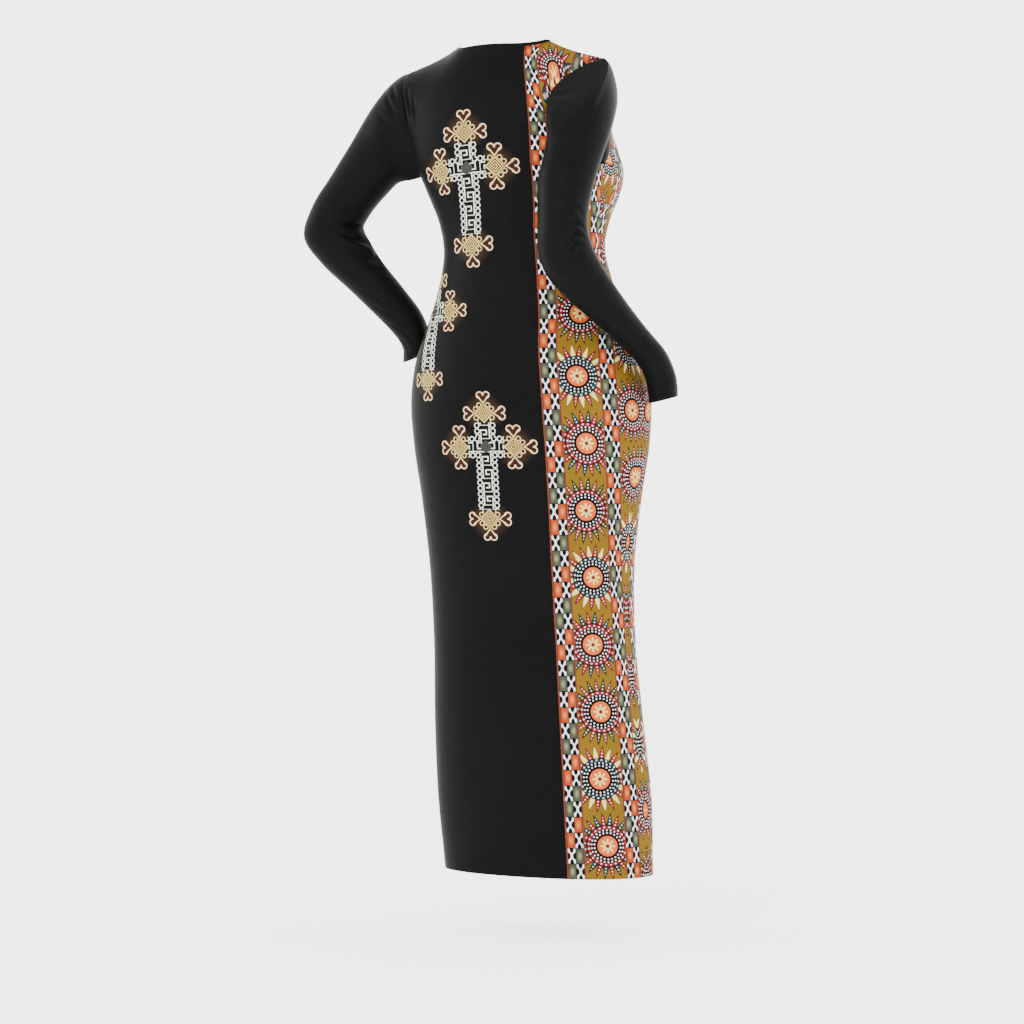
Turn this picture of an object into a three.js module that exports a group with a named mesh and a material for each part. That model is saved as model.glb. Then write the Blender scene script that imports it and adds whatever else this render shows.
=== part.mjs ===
// Ankle-length bodycon dress with long sleeves, as it hangs on a standing figure whose arms are bent.
// Millimetres, +Z up. The front faces -Y and the wearer's left is +X.
// The origin is midway between the two neck points, where the shoulders hold the dress up.

import * as THREE from "three";

const WALL = 1.5; // stretch jersey with its turned edges
const SEAM_GAP = 0.3; // between two sewn pieces
const COLUMNS = 24; // across one panel
const LOWER_ROWS = 18; // hem to ribs
const RIBS_Z = -380;
const BODY_ROWS = LOWER_ROWS + 9; // hem to underarm
const YOKE_ROWS = 12; // underarm to shoulder
const TOP_ROW = BODY_ROWS + YOKE_ROWS;
const CAP_STEPS = 8; // armhole to the first whole ring of a sleeve
const UNDERARM_STEP = 1; // over which the body tube's slope is read at the underarm
const BINDING_HEIGHT = 8;
const BINDING_PROUD = 0.4; // binding over the panel, on each face

// Neckline and shoulders. The ridge is the shoulder line, carried on over the neck to a peak that the
// neckline cuts away; each panel's neckline leaves this share of its middle column.
const UNDERARM_Z = -200;
const NECK_SHARE = 0.5; // share of a panel's top edge that is neckline
const NECK_HALF_WIDTH = 88;
const SHOULDER_X = 180;
const SHOULDER_DROP = 33;
const RIDGE_PEAK = 58;
const RIDGE_SLOPE = { neck: -0.55, shoulder: -0.28 };
const NECKLINE_SHARE = { front: 0.67, back: 0.8 };
const NECKLINE_ROUNDING = 0.8; // 0.5 is squarer, 1 is nearer a V

// Sections of the body tube: centre, half width, and depth and squareness towards front and back
const BODY = table(
  ["z", "x", "y", "halfWidth", "front", "back", "frontSquare", "backSquare"],
  [
    [-1320, -62, -37, 178, 105, 105, 2.2, 2.2],
    [-1208, -57, -33, 183, 108, 110, 2.2, 2.2],
    [-1080, -49, -28, 178, 110, 110, 2.2, 2.2],
    [-952, -43, -25, 171, 110, 112, 2.2, 2.2],
    [-824, -40, -23, 173, 115, 122, 2.2, 2.2],
    [-728, -40, -23, 184, 121, 134, 2.2, 2.2],
    [-632, -40, -23, 199, 127, 143, 2.2, 2.2],
    [-568, -39, -22, 202, 128, 144, 2.2, 2.2],
    [-504, -35, -20, 190, 127, 132, 2.2, 2.2],
    [-440, -33, -19, 166, 112, 112, 2.2, 2.2],
    [-376, -31, -18, 145, 98, 97, 2.2, 2.2],
    [-328, -29, -17, 136, 93, 92, 2.2, 2.2],
    [-280, -26, -15, 142, 114, 92, 2.4, 2.2],
    [-240, -21, -12, 152, 140, 95, 2.9, 2.3],
    [-212, -17, -10, 160, 148, 98, 3.1, 2.3],
    [-200, -15, -9, 163, 148, 99, 3.1, 2.3],
    [-185, -13, -8, 166, 145, 100, 3.0, 2.3],
  ],
);

// Two guide arcs of each panel above the underarm, the low one and the high one: centre, height at the
// middle and at the armhole, size and half angle in degrees.
// The back's right half is narrower and flatter, because that arm is drawn back.
const LEAD = 48; // how far the body tube's own slope is carried up, near a panel's middle
const LEAD_SHARE = 0.45; // share of a panel that follows the lead, before the low guide takes over
const LEVEL_SHARE = 0.2; // share of a guide that stays level at its middle height
const GUIDE_SPREAD = 0.8; // under 1, columns lie nearer the armhole than on the body tube
const YOKE_COLUMNS = ["x", "y", "middleZ", "sideZ", "halfWidth", "depth", "span", "squareness"];
const YOKE = {
  front: table(YOKE_COLUMNS, [
    [-8, -6, -160, -158, 172, 136, 62, 2.3],
    [0, 0, -116, -66, 200, 112, 47, 2.3],
  ]),
  backLeft: table(YOKE_COLUMNS, [
    [-8, -6, -150, -158, 172, 112, 62, 2.3],
    [0, 0, -66, -66, 204, 110, 47, 2.3],
  ]),
  backRight: table(YOKE_COLUMNS, [
    [-8, -6, -150, -150, 140, 112, 38, 2.3],
    [0, 0, -66, -80, 140, 110, 38, 2.3],
  ]),
};

// Both arms bend in upright planes square to this direction, 30 degrees round from straight back
const ARM_TURN = THREE.MathUtils.degToRad(30);
const ARM_DEPTH_AXIS = new THREE.Vector3(-Math.sin(ARM_TURN), Math.cos(ARM_TURN), 0);
const ARM_ACROSS_AXIS = new THREE.Vector3(-Math.cos(ARM_TURN), -Math.sin(ARM_TURN), 0);

// Sections of each sleeve: centre, half width across and half depth, each at a slope in degrees,
// and the steps to the next row. The headings are the ways a sleeve leaves its underarm and its back seam.
// The crook is the inner side of the elbow, as an angle round the section; twist turns the first point.
const SLEEVE_COLUMNS = ["x", "y", "z", "halfWidth", "slope", "halfDepth", "depthSlope", "steps"];
const SLEEVES = {
  left: {
    twist: 0,
    crook: 180,
    fullness: 1,
    underHeading: [0.95, 0.1, -0.3],
    backHeading: [0.9, 0.2, -0.3],
    sections: table(SLEEVE_COLUMNS, [
      [245, 10, -185, 49, 140, 44, 0, 2],
      [277, 12, -222, 45, 149, 42, 0, 2],
      [304, 12, -256, 46, 163, 42, 0, 4],
      [316, 10, -288, 50, 187, 42, 0, 5],
      [298, 1, -321, 44, 204, 41, 0, 4],
      [268, -10, -357, 36, 223, 38, 0, 2],
      [229, -22, -401, 32, 223, 35, 0, 2],
      [198, -29, -437, 29, 222, 32, 0, 2],
      [184, -32, -464, 26, 215, 30, 0, 1],
      [181, -32, -492, 25, 204, 30, 0, 0],
    ]),
  },
  right: {
    twist: 70,
    crook: 0,
    fullness: 0.75,
    underHeading: [-0.8, 0.6, 0.05],
    backHeading: [-0.2, 0.8, -0.5],
    sections: table(SLEEVE_COLUMNS, [
      [-179, 88, -190, 50, 12, 43, 33, 2],
      [-176, 104, -228, 46, 5, 44, 0, 2],
      [-176, 116, -268, 41, 3, 42, 0, 4],
      [-178, 124, -307, 39, 2, 41, 0, 5],
      [-183, 125, -341, 42, 5, 41, 0, 5],
      [-193, 116, -374, 43, 12, 41, 0, 4],
      [-208, 92, -405, 37, 23, 39, 0, 3],
      [-230, 56, -443, 29, 30, 36, 0, 2],
      [-250, 23, -478, 25, 30, 33, 0, 2],
      [-267, -3, -508, 24, 25, 32, 0, 2],
      [-276, -16, -540, 24, 12, 32, 0, 1],
      [-278, -20, -572, 23, 14, 32, 0, 0],
    ]),
  },
};

// Folds pressed into the crook of each elbow; place and half breadth count rows of the sleeve's table
const FOLD_ROUNDNESS = 1.5; // over 1, a fold dies away sooner round the sleeve
const FOLD_COLUMNS = ["place", "depth", "halfBreadth"];
const ELBOW_FOLDS = {
  left: table(FOLD_COLUMNS, [
    [2.35, 1.6, 0.22],
    [2.85, 2.4, 0.24],
    [3.4, 1.8, 0.22],
  ]),
  right: table(FOLD_COLUMNS, [
    [2.6, 1.6, 0.24],
    [3.2, 2.2, 0.24],
    [3.75, 1.8, 0.22],
    [4.3, 1.4, 0.22],
  ]),
};

const CLOTH = { roughness: 0.62, metalness: 0 };
const PRINTED = new THREE.Color(0x3a3230);
const PLAIN_BLACK = new THREE.Color(0x242426);

function table(columns, rows) {
  return rows.map((row) => Object.fromEntries(columns.map((name, i) => [name, row[i]])));
}

// A smooth curve through a table's rows, with every column a function of the key column
function interpolate(rows, key, at) {
  const last = rows.length - 1;
  const from = Math.min(Math.max(rows.findIndex((row) => row[key] > at) - 1, 0), last - 1);
  const i = at >= rows[last][key] ? last - 1 : from;
  const step = rows[i + 1][key] - rows[i][key];
  const f = THREE.MathUtils.clamp((at - rows[i][key]) / step, 0, 1);
  const result = {};
  for (const name of Object.keys(rows[0])) {
    const rise = (k) => (rows[k + 1][name] - rows[k][name]) / (rows[k + 1][key] - rows[k][key]);
    const tangent = (k) => {
      if (k === 0) return rise(0);
      if (k === last) return rise(last - 1);
      const before = rows[k][key] - rows[k - 1][key];
      const after = rows[k + 1][key] - rows[k][key];
      return (rise(k - 1) * after + rise(k) * before) / (before + after);
    };
    result[name] = hermite(rows[i][name], tangent(i) * step, rows[i + 1][name], tangent(i + 1) * step, f);
  }
  return result;
}

function hermite(start, startTangent, end, endTangent, f) {
  const g = 1 - f;
  const ends = (1 + 2 * f) * g * g * start + f * f * (3 - 2 * f) * end;
  return ends + f * g * g * startTangent - f * f * g * endTangent;
}

function hermiteVector(start, startTangent, end, endTangent, f) {
  const part = (axis) => hermite(start[axis], startTangent[axis], end[axis], endTangent[axis], f);
  return new THREE.Vector3(part("x"), part("y"), part("z"));
}

// A point of a superellipse quarter at an angle from the middle, and its sign kept
function bowed(angle, squareness) {
  const power = 2 / squareness;
  return {
    across: Math.sign(angle) * Math.abs(Math.sin(angle)) ** power,
    deep: Math.max(Math.cos(angle), 0) ** power,
  };
}

// s runs from -1 at the wearer's right side seam to 1 at the left; back is true on the back panel
function bodyPoint(s, z, back) {
  const section = interpolate(BODY, "z", z);
  const bow = bowed((s * Math.PI) / 2, back ? section.backSquare : section.frontSquare);
  const depth = back ? section.back : -section.front;
  return new THREE.Vector3(section.x + section.halfWidth * bow.across, section.y + depth * bow.deep, z);
}

// The shoulder seam out to the armhole, and the ridge over the neck between the two neck points
function ridgePoint(s) {
  const away = Math.abs(s);
  const { neck, shoulder } = RIDGE_SLOPE;
  if (away <= NECK_SHARE) {
    const inner = away / NECK_SHARE;
    const z = hermite(RIDGE_PEAK, 0, 0, neck * NECK_HALF_WIDTH, inner);
    return new THREE.Vector3(Math.sign(s) * NECK_HALF_WIDTH * inner, 0, z);
  }
  const outer = (away - NECK_SHARE) / (1 - NECK_SHARE);
  const run = SHOULDER_X - NECK_HALF_WIDTH;
  const z = hermite(0, neck * run, -SHOULDER_DROP, shoulder * run, outer);
  return new THREE.Vector3(Math.sign(s) * (NECK_HALF_WIDTH + run * outer), 0, z);
}

// How far up its column a panel reaches: all the way at the shoulder, less along the round neckline
function columnShare(s, back) {
  const inside = Math.max(1 - (s / NECK_SHARE) ** 2, 0) ** NECKLINE_ROUNDING;
  return 1 - (1 - (back ? NECKLINE_SHARE.back : NECKLINE_SHARE.front)) * inside;
}

function guidePoint(s, guide, back) {
  const spread = Math.sign(s) * Math.abs(s) ** GUIDE_SPREAD;
  const bow = bowed(spread * THREE.MathUtils.degToRad(guide.span), guide.squareness);
  const towardSide = THREE.MathUtils.smoothstep(Math.abs(s), LEVEL_SHARE, 1);
  const z = THREE.MathUtils.lerp(guide.middleZ, guide.sideZ, towardSide);
  const y = guide.y + (back ? guide.depth : -guide.depth) * bow.deep;
  return new THREE.Vector3(guide.x + guide.halfWidth * bow.across, y, z);
}

// Above the underarm each column is a cubic curve from the body tube to the ridge, cut at the neckline
function yokePoint(s, t, back) {
  const backGuides = s < 0 ? YOKE.backRight : YOKE.backLeft;
  const [lowGuide, highGuide] = back ? backGuides : YOKE.front;
  const start = bodyPoint(s, UNDERARM_Z, back);
  const end = ridgePoint(s);
  const above = bodyPoint(s, UNDERARM_Z + UNDERARM_STEP, back);
  const lead = above.sub(start).multiplyScalar(LEAD / UNDERARM_STEP);
  const towardSide = THREE.MathUtils.smoothstep(Math.abs(s), LEAD_SHARE, 1);
  const low = start.clone().add(lead).lerp(guidePoint(s, lowGuide, back), towardSide);
  const high = guidePoint(s, highGuide, back);
  return new THREE.CubicBezierCurve3(start, low, high, end).getPoint(t * columnShare(s, back));
}

function rowHeight(i) {
  if (i <= LOWER_ROWS) return THREE.MathUtils.lerp(BODY[0].z, RIBS_Z, i / LOWER_ROWS);
  return THREE.MathUtils.lerp(RIBS_Z, UNDERARM_Z, (i - LOWER_ROWS) / (BODY_ROWS - LOWER_ROWS));
}

function panelPoint(i, s, back) {
  if (i <= BODY_ROWS) return bodyPoint(s, rowHeight(i), back);
  return yokePoint(s, (i - BODY_ROWS) / YOKE_ROWS, back);
}

function columnPlace(j) {
  return (2 * j) / COLUMNS - 1;
}

function panelGrid(back) {
  const rows = [];
  for (let i = 0; i <= TOP_ROW; i += 1) {
    const row = [];
    for (let j = 0; j <= COLUMNS; j += 1) {
      const point = panelPoint(i, columnPlace(j), back);
      point.y += (back ? SEAM_GAP : -SEAM_GAP) / 2;
      row.push(point);
    }
    rows.push(row);
  }
  return rows;
}

// Normals of a grid of points; facing is 1 or -1 and around is true where its rows close on themselves
function gridNormals(grid, around, facing) {
  const last = grid.length - 1;
  return grid.map((row, i) =>
    row.map((_, j) => {
      const count = row.length;
      const before = around ? (j + count - 1) % count : Math.max(j - 1, 0);
      const after = around ? (j + 1) % count : Math.min(j + 1, count - 1);
      const across = row[after].clone().sub(row[before]);
      const along = grid[Math.min(i + 1, last)][j].clone().sub(grid[Math.max(i - 1, 0)][j]);
      return across.cross(along).normalize().multiplyScalar(facing);
    }),
  );
}

// A seam's wall stands square to the seam plane, so the two panels stay apart through their thickness.
// The neckline's wall leans as the row below it does.
function squareAtSeams(normals) {
  normals.forEach((row, i) => {
    row.forEach((normal, j) => {
      const away = Math.abs(columnPlace(j));
      const sideSeam = away === 1 && i <= BODY_ROWS;
      const shoulderSeam = i === TOP_ROW && away >= NECK_SHARE;
      if (sideSeam || shoulderSeam) normal.setY(0).normalize();
      else if (i === TOP_ROW) normal.copy(normals[TOP_ROW - 1][j]);
    });
  });
  return normals;
}

function moved(point, direction, distance) {
  return point.clone().addScaledVector(direction, distance);
}

// A closed wall between an outer and an inner grid of points. The quads along its rims are split at
// their shorter diagonal, so that the rims of two pieces that meet are split alike.
function wallGeometry(outer, inner, around) {
  const rows = outer.length;
  const columns = outer[0].length;
  const points = [...outer.flat(), ...inner.flat()];
  const at = (layer, i, j) => (layer * rows + i) * columns + (j % columns);
  const faces = [];
  const quad = (a, b, c, d) => faces.push(a, b, c, a, c, d);
  const rim = (a, b, c, d) => {
    const shorter = points[a].distanceTo(points[c]) <= points[b].distanceTo(points[d]);
    return shorter ? quad(a, b, c, d) : quad(b, c, d, a);
  };
  const lastColumn = around ? columns : columns - 1;
  for (let i = 0; i < rows - 1; i += 1) {
    for (let j = 0; j < lastColumn; j += 1) {
      quad(at(0, i, j), at(0, i, j + 1), at(0, i + 1, j + 1), at(0, i + 1, j));
      quad(at(1, i, j), at(1, i + 1, j), at(1, i + 1, j + 1), at(1, i, j + 1));
    }
    if (!around) {
      rim(at(0, i, 0), at(0, i + 1, 0), at(1, i + 1, 0), at(1, i, 0));
      rim(at(0, i, lastColumn), at(1, i, lastColumn), at(1, i + 1, lastColumn), at(0, i + 1, lastColumn));
    }
  }
  for (let j = 0; j < lastColumn; j += 1) {
    rim(at(0, 0, j), at(1, 0, j), at(1, 0, j + 1), at(0, 0, j + 1));
    rim(at(0, rows - 1, j), at(0, rows - 1, j + 1), at(1, rows - 1, j + 1), at(1, rows - 1, j));
  }
  return closedGeometry(points, faces);
}

function closedGeometry(points, faces) {
  let volume = 0;
  for (let k = 0; k < faces.length; k += 3) {
    const [a, b, c] = [points[faces[k]], points[faces[k + 1]], points[faces[k + 2]]];
    volume += a.dot(b.clone().cross(c));
  }
  const geometry = new THREE.BufferGeometry().setFromPoints(points);
  geometry.setIndex(volume < 0 ? faces.reverse() : faces);
  geometry.computeVertexNormals();
  return geometry;
}

function cloth(name, geometry, colour) {
  const mesh = new THREE.Mesh(geometry, new THREE.MeshStandardMaterial({ color: colour, ...CLOTH }));
  mesh.name = name;
  return mesh;
}

function makePanel(back) {
  const outer = panelGrid(back);
  const normals = squareAtSeams(gridNormals(outer, false, back ? -1 : 1));
  const inner = outer.map((row, i) => row.map((point, j) => moved(point, normals[i][j], -WALL)));
  return { outer, normals, geometry: wallGeometry(outer, inner, false) };
}

// A rim is a closed loop of a panel's edge points, each with the panel's normal there and the
// direction that leads away from the panel in its own surface
function closeRim(spots) {
  const count = spots.length;
  spots.forEach((spot, k) => {
    const along = spots[(k + 1) % count].point.clone().sub(spots[(k + count - 1) % count].point);
    spot.away = along.cross(spot.normal).normalize();
    if (spot.away.dot(spot.outward) < 0) spot.away.negate();
  });
  return spots;
}

function rimSpot(panels, i, j, insideI, insideJ) {
  const spot = { point: new THREE.Vector3(), normal: new THREE.Vector3(), outward: new THREE.Vector3() };
  for (const { outer, normals } of panels) {
    spot.point.addScaledVector(outer[i][j], 1 / panels.length);
    spot.normal.add(normals[i][j]);
    spot.outward.add(outer[i][j]).sub(outer[insideI][insideJ]);
  }
  spot.normal.normalize();
  return spot;
}

// The armhole in order: shoulder, down the back edge, underarm, up the front edge
function armholeRim(front, back, side) {
  const edge = side > 0 ? COLUMNS : 0;
  const inside = edge - side;
  const both = [front, back];
  const spots = [rimSpot(both, TOP_ROW, edge, TOP_ROW, inside)];
  for (let i = TOP_ROW - 1; i > BODY_ROWS; i -= 1) spots.push(rimSpot([back], i, edge, i, inside));
  spots.push(rimSpot(both, BODY_ROWS, edge, BODY_ROWS - 1, edge));
  for (let i = BODY_ROWS + 1; i < TOP_ROW; i += 1) spots.push(rimSpot([front], i, edge, i, inside));
  return closeRim(spots);
}

// The neckline in order: right neck point, round the back, left neck point, round the front
function neckRim(front, back) {
  const start = (COLUMNS * (1 - NECK_SHARE)) / 2;
  const end = COLUMNS - start;
  const spotAt = (panels, j) => rimSpot(panels, TOP_ROW, j, TOP_ROW - 1, j);
  const spots = [spotAt([front, back], start)];
  for (let j = start + 1; j < end; j += 1) spots.push(spotAt([back], j));
  spots.push(spotAt([front, back], end));
  for (let j = end - 1; j > start; j -= 1) spots.push(spotAt([front], j));
  return closeRim(spots);
}

function sleeveRing(section, twist, count) {
  const slope = THREE.MathUtils.degToRad(section.slope);
  const up = new THREE.Vector3(0, 0, 1);
  const across = ARM_ACROSS_AXIS.clone().multiplyScalar(Math.cos(slope)).addScaledVector(up, Math.sin(slope));
  const tip = THREE.MathUtils.degToRad(section.depthSlope);
  const deep = ARM_DEPTH_AXIS.clone().multiplyScalar(Math.cos(tip)).addScaledVector(up, Math.sin(tip));
  return Array.from({ length: count }, (_, k) => {
    const angle = THREE.MathUtils.degToRad(twist) + (2 * Math.PI * k) / count;
    return new THREE.Vector3(section.x, section.y, section.z)
      .addScaledVector(across, section.halfWidth * Math.cos(angle))
      .addScaledVector(deep, section.halfDepth * Math.sin(angle));
  });
}

// The cap leaves the armhole along the panels' own surface, and by its headings at the underarm and back
function capRows(rim, sleeve, first, second) {
  const underHeading = new THREE.Vector3(...sleeve.underHeading);
  const backHeading = new THREE.Vector3(...sleeve.backHeading);
  const rows = Array.from({ length: CAP_STEPS }, () => []);
  rim.forEach((spot, k) => {
    const angle = (2 * Math.PI * k) / rim.length;
    const low = ((1 - Math.cos(angle)) / 2) ** 2;
    const behind = Math.max(Math.sin(angle), 0) ** 2 * (1 - low);
    const start = moved(spot.point, spot.away, SEAM_GAP);
    const reach = first[k].distanceTo(start);
    const leave = spot.away.clone().multiplyScalar(1 - low - behind);
    leave.addScaledVector(underHeading, low).addScaledVector(backHeading, behind);
    leave.setLength(reach * sleeve.fullness * (1 + low + behind));
    const arrive = second[k].clone().sub(first[k]).setLength(reach);
    rows.forEach((row, i) => row.push(hermiteVector(start, leave, first[k], arrive, i / CAP_STEPS)));
  });
  return rows;
}

function foldDepth(folds, place, fromCrook) {
  const round = Math.max(Math.cos(fromCrook), 0) ** FOLD_ROUNDNESS;
  return folds.reduce((sum, fold) => {
    const near = Math.max(1 - Math.abs(place - fold.place) / (2 * fold.halfBreadth), 0);
    return sum + fold.depth * round * near * near * (3 - 2 * near);
  }, 0);
}

// Every place down a sleeve's table, as a row number and a fraction
function sleevePlaces(sections) {
  const places = [];
  sections.forEach(({ steps }, i) => {
    for (let n = 0; n < steps; n += 1) places.push(i + n / steps);
  });
  return [...places, sections.length - 1];
}

// A smooth curve down each column of the rings
function ringAt(rings, place) {
  const last = rings.length - 1;
  const i = Math.min(Math.floor(place), last - 1);
  const tangent = (k, j) => {
    const after = rings[Math.min(k + 1, last)][j];
    return after.clone().sub(rings[Math.max(k - 1, 0)][j]).multiplyScalar(0.5);
  };
  return rings[i].map((point, j) =>
    hermiteVector(point, tangent(i, j), rings[i + 1][j], tangent(i + 1, j), place - i),
  );
}

function pressFolds(grid, places, sleeve, folds, facing) {
  const smooth = gridNormals(grid, true, facing);
  const start = THREE.MathUtils.degToRad(sleeve.twist - sleeve.crook);
  places.forEach((place, p) => {
    const i = grid.length - places.length + p;
    grid[i].forEach((point, k) => {
      const fromCrook = start + (2 * Math.PI * k) / grid[i].length;
      point.addScaledVector(smooth[i][k], -foldDepth(folds, place, fromCrook));
    });
  });
}

// The wall's edge at the armhole never leans out over the panels
function makeSleeve(side, front, back, name) {
  const sleeve = SLEEVES[name];
  const rim = armholeRim(front, back, side);
  const rings = sleeve.sections.map((section) => sleeveRing(section, sleeve.twist, rim.length));
  const places = sleevePlaces(sleeve.sections);
  const outer = capRows(rim, sleeve, rings[0], rings[1]);
  places.forEach((place) => outer.push(ringAt(rings, place)));
  pressFolds(outer, places, sleeve, ELBOW_FOLDS[name], -side);
  const normals = gridNormals(outer, true, -side);
  rim.forEach((spot, k) => {
    const lean = Math.max(normals[0][k].dot(spot.away), 0);
    normals[0][k].addScaledVector(spot.away, -lean).normalize();
  });
  const inner = outer.map((row, i) => row.map((point, k) => moved(point, normals[i][k], -WALL)));
  return wallGeometry(outer, inner, true);
}

// A narrow band that stands on the neckline's edge, all the way round
function makeBinding(rim) {
  const heights = [SEAM_GAP, SEAM_GAP + BINDING_HEIGHT / 2, SEAM_GAP + BINDING_HEIGHT];
  const layer = (depth) =>
    heights.map((height) =>
      rim.map((spot) => moved(moved(spot.point, spot.away, height), spot.normal, depth)),
    );
  return wallGeometry(layer(BINDING_PROUD), layer(-WALL - BINDING_PROUD), true);
}

const front = makePanel(false);
const back = makePanel(true);
const dress = new THREE.Group();
dress.name = "bodycon_dress";
dress.add(
  cloth("front_panel", front.geometry, PRINTED),
  cloth("back_panel", back.geometry, PRINTED),
  cloth("left_sleeve", makeSleeve(1, front, back, "left"), PLAIN_BLACK),
  cloth("right_sleeve", makeSleeve(-1, front, back, "right"), PLAIN_BLACK),
  cloth("neck_binding", makeBinding(neckRim(front, back)), PLAIN_BLACK),
);

export default dress;
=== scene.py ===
"""Bodycon dress: printed panels, set-in sleeves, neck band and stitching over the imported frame.

Shapes are worked out in millimetres in the dress's own frame and are put into the meshes in metres.
"""

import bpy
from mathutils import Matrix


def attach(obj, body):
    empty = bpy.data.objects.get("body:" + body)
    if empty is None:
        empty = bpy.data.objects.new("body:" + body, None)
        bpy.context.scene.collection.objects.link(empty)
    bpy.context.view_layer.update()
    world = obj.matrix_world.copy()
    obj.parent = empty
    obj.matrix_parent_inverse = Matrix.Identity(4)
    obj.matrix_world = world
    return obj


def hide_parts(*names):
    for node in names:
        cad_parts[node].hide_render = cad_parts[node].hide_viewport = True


bl_info = {
    "name": "Bodycon Dress",
    "version": (1, 0, 0),
    "blender": (4, 5, 0),
    "location": "View3D > Sidebar > Dress",
    "description": "Builds an ankle-length printed jersey dress in its worn form",
    "category": "Add Mesh",
}

from functools import partialmethod, reduce
from types import SimpleNamespace

import bpy
import numpy as np
from bpy.props import FloatProperty, FloatVectorProperty, PointerProperty
from mathutils import Vector

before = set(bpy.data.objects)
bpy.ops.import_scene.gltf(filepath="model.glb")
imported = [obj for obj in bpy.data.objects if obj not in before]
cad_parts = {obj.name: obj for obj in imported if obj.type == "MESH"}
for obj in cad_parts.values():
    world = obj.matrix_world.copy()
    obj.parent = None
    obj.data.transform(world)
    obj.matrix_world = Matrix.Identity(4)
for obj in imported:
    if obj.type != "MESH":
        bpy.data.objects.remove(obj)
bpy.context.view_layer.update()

MM = 0.001
TAU = 2 * np.pi
UP = np.array((0.0, 0.0, 1.0))
SEAM_GAP = 0.3
SEAM_BREADTH = 3.5  # of the valley beside a seam
NO_SEAM = 1000  # so far from a seam that no valley shows
SHARP_ANGLE = np.radians(55)  # an edge that turns more than this is shaded sharp

# ---------------------------------------------------------------- the dress's own sizes, in millimetres

# Sections of the body tube: centre, half width, and depth and squareness towards front and back
BODY_COLUMNS = ("z", "x", "y", "half_width", "front", "back", "front_square", "back_square")
BODY_ROWS = (
    (-1320, -62, -37, 178, 105, 105, 2.2, 2.2),
    (-1208, -57, -33, 183, 108, 110, 2.2, 2.2),
    (-1080, -49, -28, 178, 110, 110, 2.2, 2.2),
    (-952, -43, -25, 171, 110, 112, 2.2, 2.2),
    (-824, -40, -23, 173, 115, 122, 2.2, 2.2),
    (-728, -40, -23, 184, 121, 134, 2.2, 2.2),
    (-632, -40, -23, 199, 127, 143, 2.2, 2.2),
    (-568, -39, -22, 202, 128, 144, 2.2, 2.2),
    (-504, -35, -20, 190, 127, 132, 2.2, 2.2),
    (-440, -33, -19, 166, 112, 112, 2.2, 2.2),
    (-376, -31, -18, 145, 98, 97, 2.2, 2.2),
    (-328, -29, -17, 136, 93, 92, 2.2, 2.2),
    (-280, -26, -15, 142, 114, 92, 2.4, 2.2),
    (-240, -21, -12, 152, 140, 95, 2.9, 2.3),
    (-212, -17, -10, 160, 148, 98, 3.1, 2.3),
    (-200, -15, -9, 163, 148, 99, 3.1, 2.3),
    (-185, -13, -8, 166, 145, 100, 3.0, 2.3),
)
UNDERARM_Z = -200
TUBE_STEP = 20  # millimetres of tube to one row
TUBE_ROWS = 56  # hem to underarm
YOKE_ROWS = 12  # underarm to shoulder
EDGE_STEP = 1 / 12  # of a half panel, over which an edge's lean is read

# Points of the grids, across and along
PANEL_ACROSS = 121
TUBE_ALONG = 281
YOKE_ALONG = 73
SLEEVE_AROUND = 96
CAP_STEPS = 40
RING_STEPS = 14  # from one row of a sleeve's table to the next
BAND_AROUND = 192
BAND_SECTION = 16
HEM_AROUND = 241
STITCH_RINGS = 5
STITCH_SIDES = 6

NECK_SHARE = 0.5
NECK_HALF_WIDTH = 88
SHOULDER_X = 180
SHOULDER_DROP = 33
RIDGE_PEAK = 58
NECK_SLOPE = -0.55
SHOULDER_SLOPE = -0.28
NECKLINE_SHARE = {"front": 0.67, "back": 0.8}
NECKLINE_ROUNDING = 0.8

# Guide arcs of each panel above the underarm, the low one and the high one
LEAD = 48
LEAD_SHARE = 0.45
LEVEL_SHARE = 0.2
GUIDE_SPREAD = 0.8
GUIDE_COLUMNS = ("x", "y", "middle_z", "side_z", "half_width", "depth", "span", "square")
GUIDES = {
    "front": ((-8, -6, -160, -158, 172, 136, 62, 2.3), (0, 0, -116, -66, 200, 112, 47, 2.3)),
    "back_left": ((-8, -6, -150, -158, 172, 112, 62, 2.3), (0, 0, -66, -66, 204, 110, 47, 2.3)),
    "back_right": ((-8, -6, -150, -150, 140, 112, 38, 2.3), (0, 0, -66, -80, 140, 110, 38, 2.3)),
}

# Both arms bend in upright planes square to this direction
ARM_TURN = np.radians(30)
ARM_DEEP = np.array((-np.sin(ARM_TURN), np.cos(ARM_TURN), 0))
ARM_ACROSS = np.array((-np.cos(ARM_TURN), -np.sin(ARM_TURN), 0))

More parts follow.
